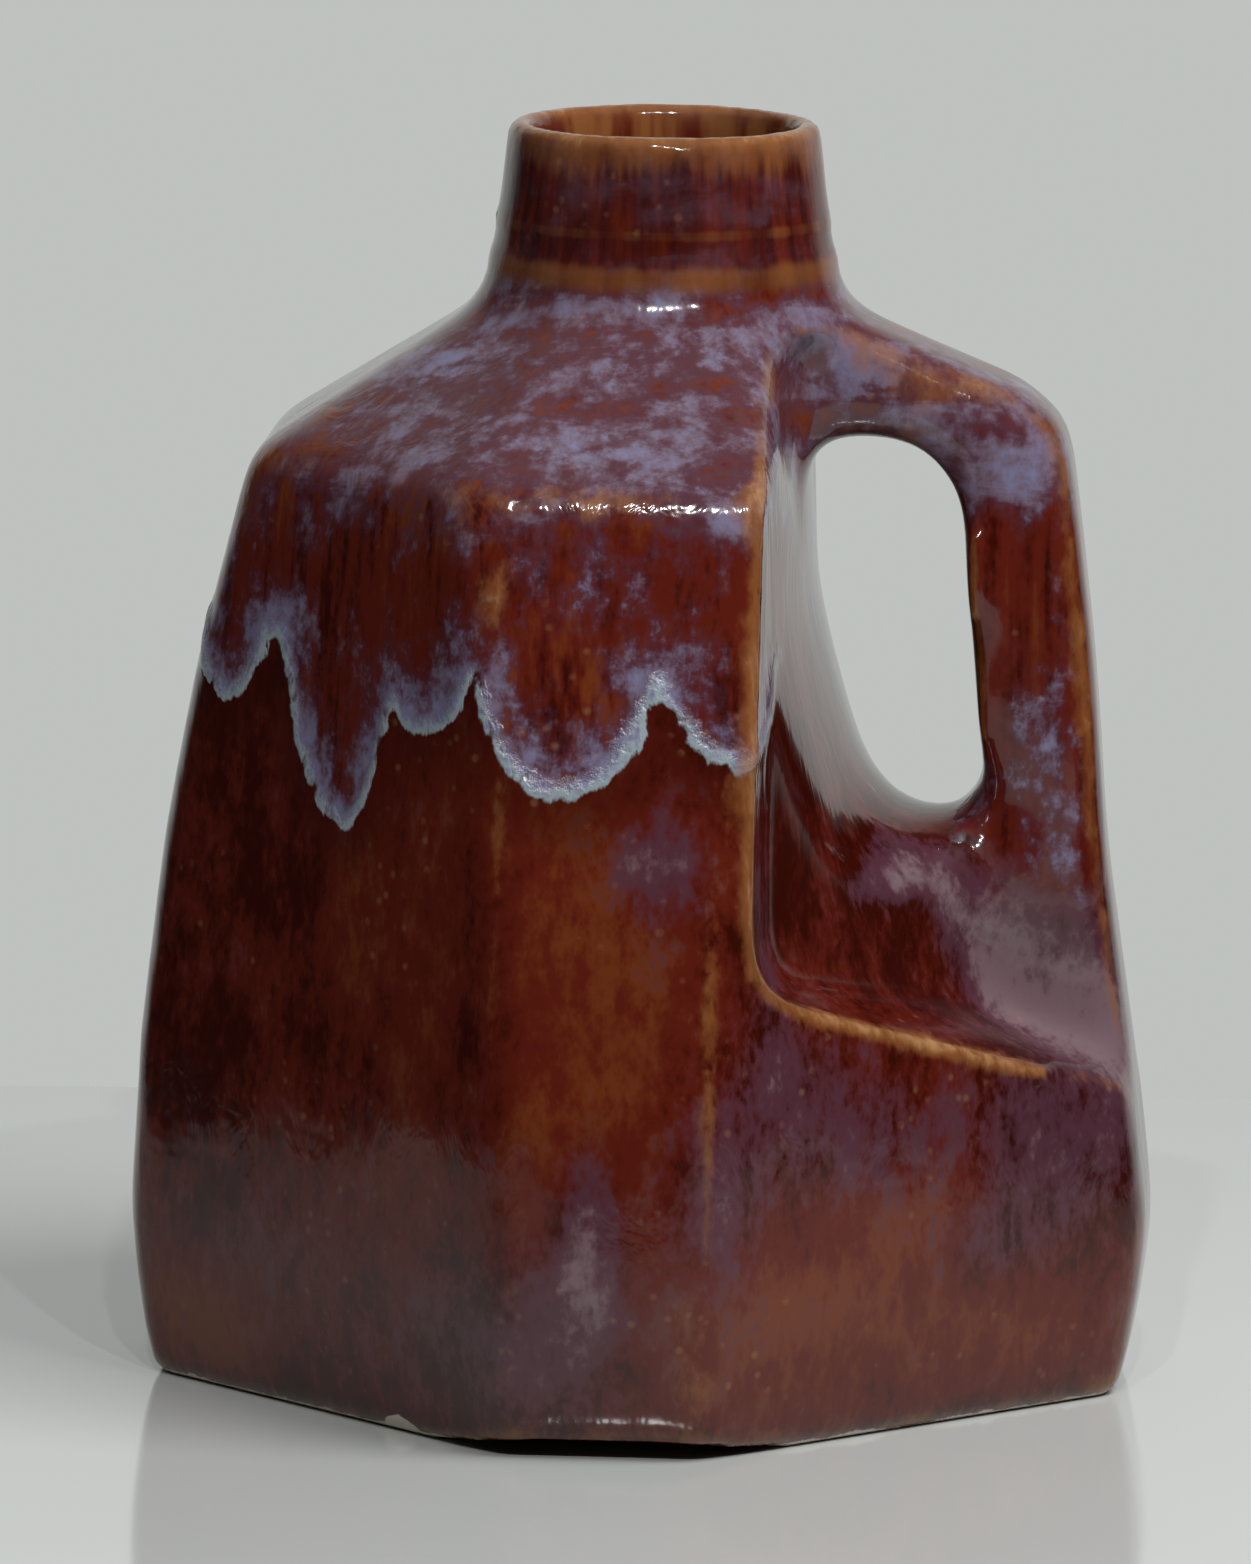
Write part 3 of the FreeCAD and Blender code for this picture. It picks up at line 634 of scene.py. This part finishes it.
def studio_world(stage):
    """Plain pale surroundings as seen directly; as light, the pale wall behind and a dim room in front."""
    world = bpy.data.worlds.new("studio")
    board = Board(world)
    towards = board.node("ShaderNodeTexCoord", output="Generated")
    away = board.node("ShaderNodeSeparateXYZ", {}, {0: towards}, output="Y")
    up = board.node("ShaderNodeSeparateXYZ", {}, {0: towards}, output="Z")
    room = board.blend(shaded(stage.wall, DIM_SHARE), stage.wall, away.step(0.5, 0.8))
    room = board.blend(room, shaded(stage.wall, CEILING_SHARE), up.step(0.35, 0.9))
    seen = board.node("ShaderNodeLightPath", output="Is Camera Ray")
    surround = board.blend(room, stage.wall, seen)
    shader = board.node("ShaderNodeBackground", {}, {"Color": surround, "Strength": 1.0})
    return board.finish(shader, "ShaderNodeOutputWorld")


def lamp(name, place, target, size, power):
    """A flat lamp that faces a target; place and target are in metres."""
    light = bpy.data.lights.new(name, "AREA")
    light.shape = "DISK"
    light.size = size
    light.energy = power
    holder = bpy.data.objects.new(name, light)
    bpy.context.scene.collection.objects.link(holder)
    holder.location = place
    holder.rotation_mode = "QUATERNION"
    holder.rotation_quaternion = (Vector(place) - Vector(target)).to_track_quat("Z", "Y")
    return holder


def around(azimuth, elevation, distance, level):
    """A place at a bearing from -Y and a height above the horizon, seen from the axis at a level."""
    flat = math.cos(elevation) * distance
    return (math.sin(azimuth) * flat, -math.cos(azimuth) * flat, level + math.sin(elevation) * distance)


def aim_camera(stage):
    """The camera on its bearing, its right and up turned by the roll, moved a little to frame the jug."""
    a, e, r = stage.azimuth, stage.elevation, stage.roll
    back = Vector(around(a, e, 1.0, 0.0))
    level_right = Vector((math.cos(a), math.sin(a), 0.0))
    level_up = back.cross(level_right)
    right = level_right * math.cos(r) + level_up * math.sin(r)
    up = level_up * math.cos(r) - level_right * math.sin(r)
    camera = bpy.data.cameras.new("camera")
    camera.lens = LENS
    camera.clip_end = 20
    holder = bpy.data.objects.new("camera", camera)
    bpy.context.scene.collection.objects.link(holder)
    left, down = FRAMING
    place = Vector((0, 0, stage.aim_level)) + back * stage.distance - right * left * MM - up * down * MM
    holder.matrix_world = Matrix.Translation(place) @ Matrix((right, up, back)).transposed().to_4x4()
    bpy.context.scene.camera = holder


class JUG_OT_cast(bpy.types.Operator):
    """Cast the jug's glazed body over the CAD solid"""
    bl_idname = "jug.cast"
    bl_label = "Cast Jug"

    def execute(self, context):
        scene = context.scene
        piece = cast_copy("jug", "glazed_jug", scene.jug_sizes.grain)
        shape_jug(piece, scene.jug_sizes)
        piece.data.materials.clear()
        piece.data.materials.append(glaze(scene.jug_colours))
        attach(piece, "root")
        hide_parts("jug")
        return {"FINISHED"}


class JUG_OT_stage(bpy.types.Operator):
    """Set the table, the lamps and the camera"""
    bl_idname = "jug.stage"
    bl_label = "Set Stage"

    def execute(self, context):
        scene, stage = context.scene, context.scene.jug_stage
        side, near, far = stage.table_side, -stage.table_front, stage.table_depth
        turn = Matrix.Rotation(stage.azimuth, 3, "Z")
        corners = [tuple(turn @ Vector(corner)) for corner in
                   ((-side, near, 0), (side, near, 0), (side, far, 0), (-side, far, 0))]
        table = bpy.data.objects.new("table", plane_mesh("table", corners))
        scene.collection.objects.link(table)
        table.data.materials.append(table_material(stage))
        scene.world = studio_world(stage)
        aim = (0, 0, 0.08)
        for name, azimuth in LAMPS:
            place = around(math.radians(azimuth), math.radians(42), 1.3, 0.08)
            lamp("lamp_" + name, place, aim, 0.024, stage.lamp_power)
        soft = lamp("soft_light", around(math.radians(62), math.radians(52), 1.1, 0.08), aim, 0.7,
                    stage.soft_power)
        soft.visible_glossy = False
        aim_camera(stage)
        scene.view_settings.view_transform = "Standard"
        return {"FINISHED"}


class JUG_PT_panel(bpy.types.Panel):
    """Lists the jug's sizes, colours and makers"""
    bl_label = "Porcelain Jug"
    bl_space_type = "VIEW_3D"
    bl_region_type = "UI"
    bl_category = "Jug"

    def draw(self, context):
        for operator in OPERATORS:
            self.layout.operator(operator.bl_idname)
        for group in (context.scene.jug_sizes, context.scene.jug_colours, context.scene.jug_stage):
            box = self.layout.box()
            for name in group.__annotations__:
                box.prop(group, name)


GROUPS = {"jug_sizes": JugSizes, "jug_colours": JugColours, "jug_stage": StageSizes}
OPERATORS = (JUG_OT_cast, JUG_OT_stage)


def register():
    for made in (*GROUPS.values(), *OPERATORS, JUG_PT_panel):
        bpy.utils.register_class(made)
    for name, group in GROUPS.items():
        setattr(bpy.types.Scene, name, PointerProperty(type=group))


def unregister():
    for name in GROUPS:
        delattr(bpy.types.Scene, name)
    for made in (JUG_PT_panel, *reversed(OPERATORS), *GROUPS.values()):
        bpy.utils.unregister_class(made)


def main():
    """Registers the add-on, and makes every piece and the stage."""
    register()
    bpy.ops.jug.cast()
    bpy.ops.jug.stage()
    bpy.context.view_layer.update()


if __name__ == "__main__":
    main()
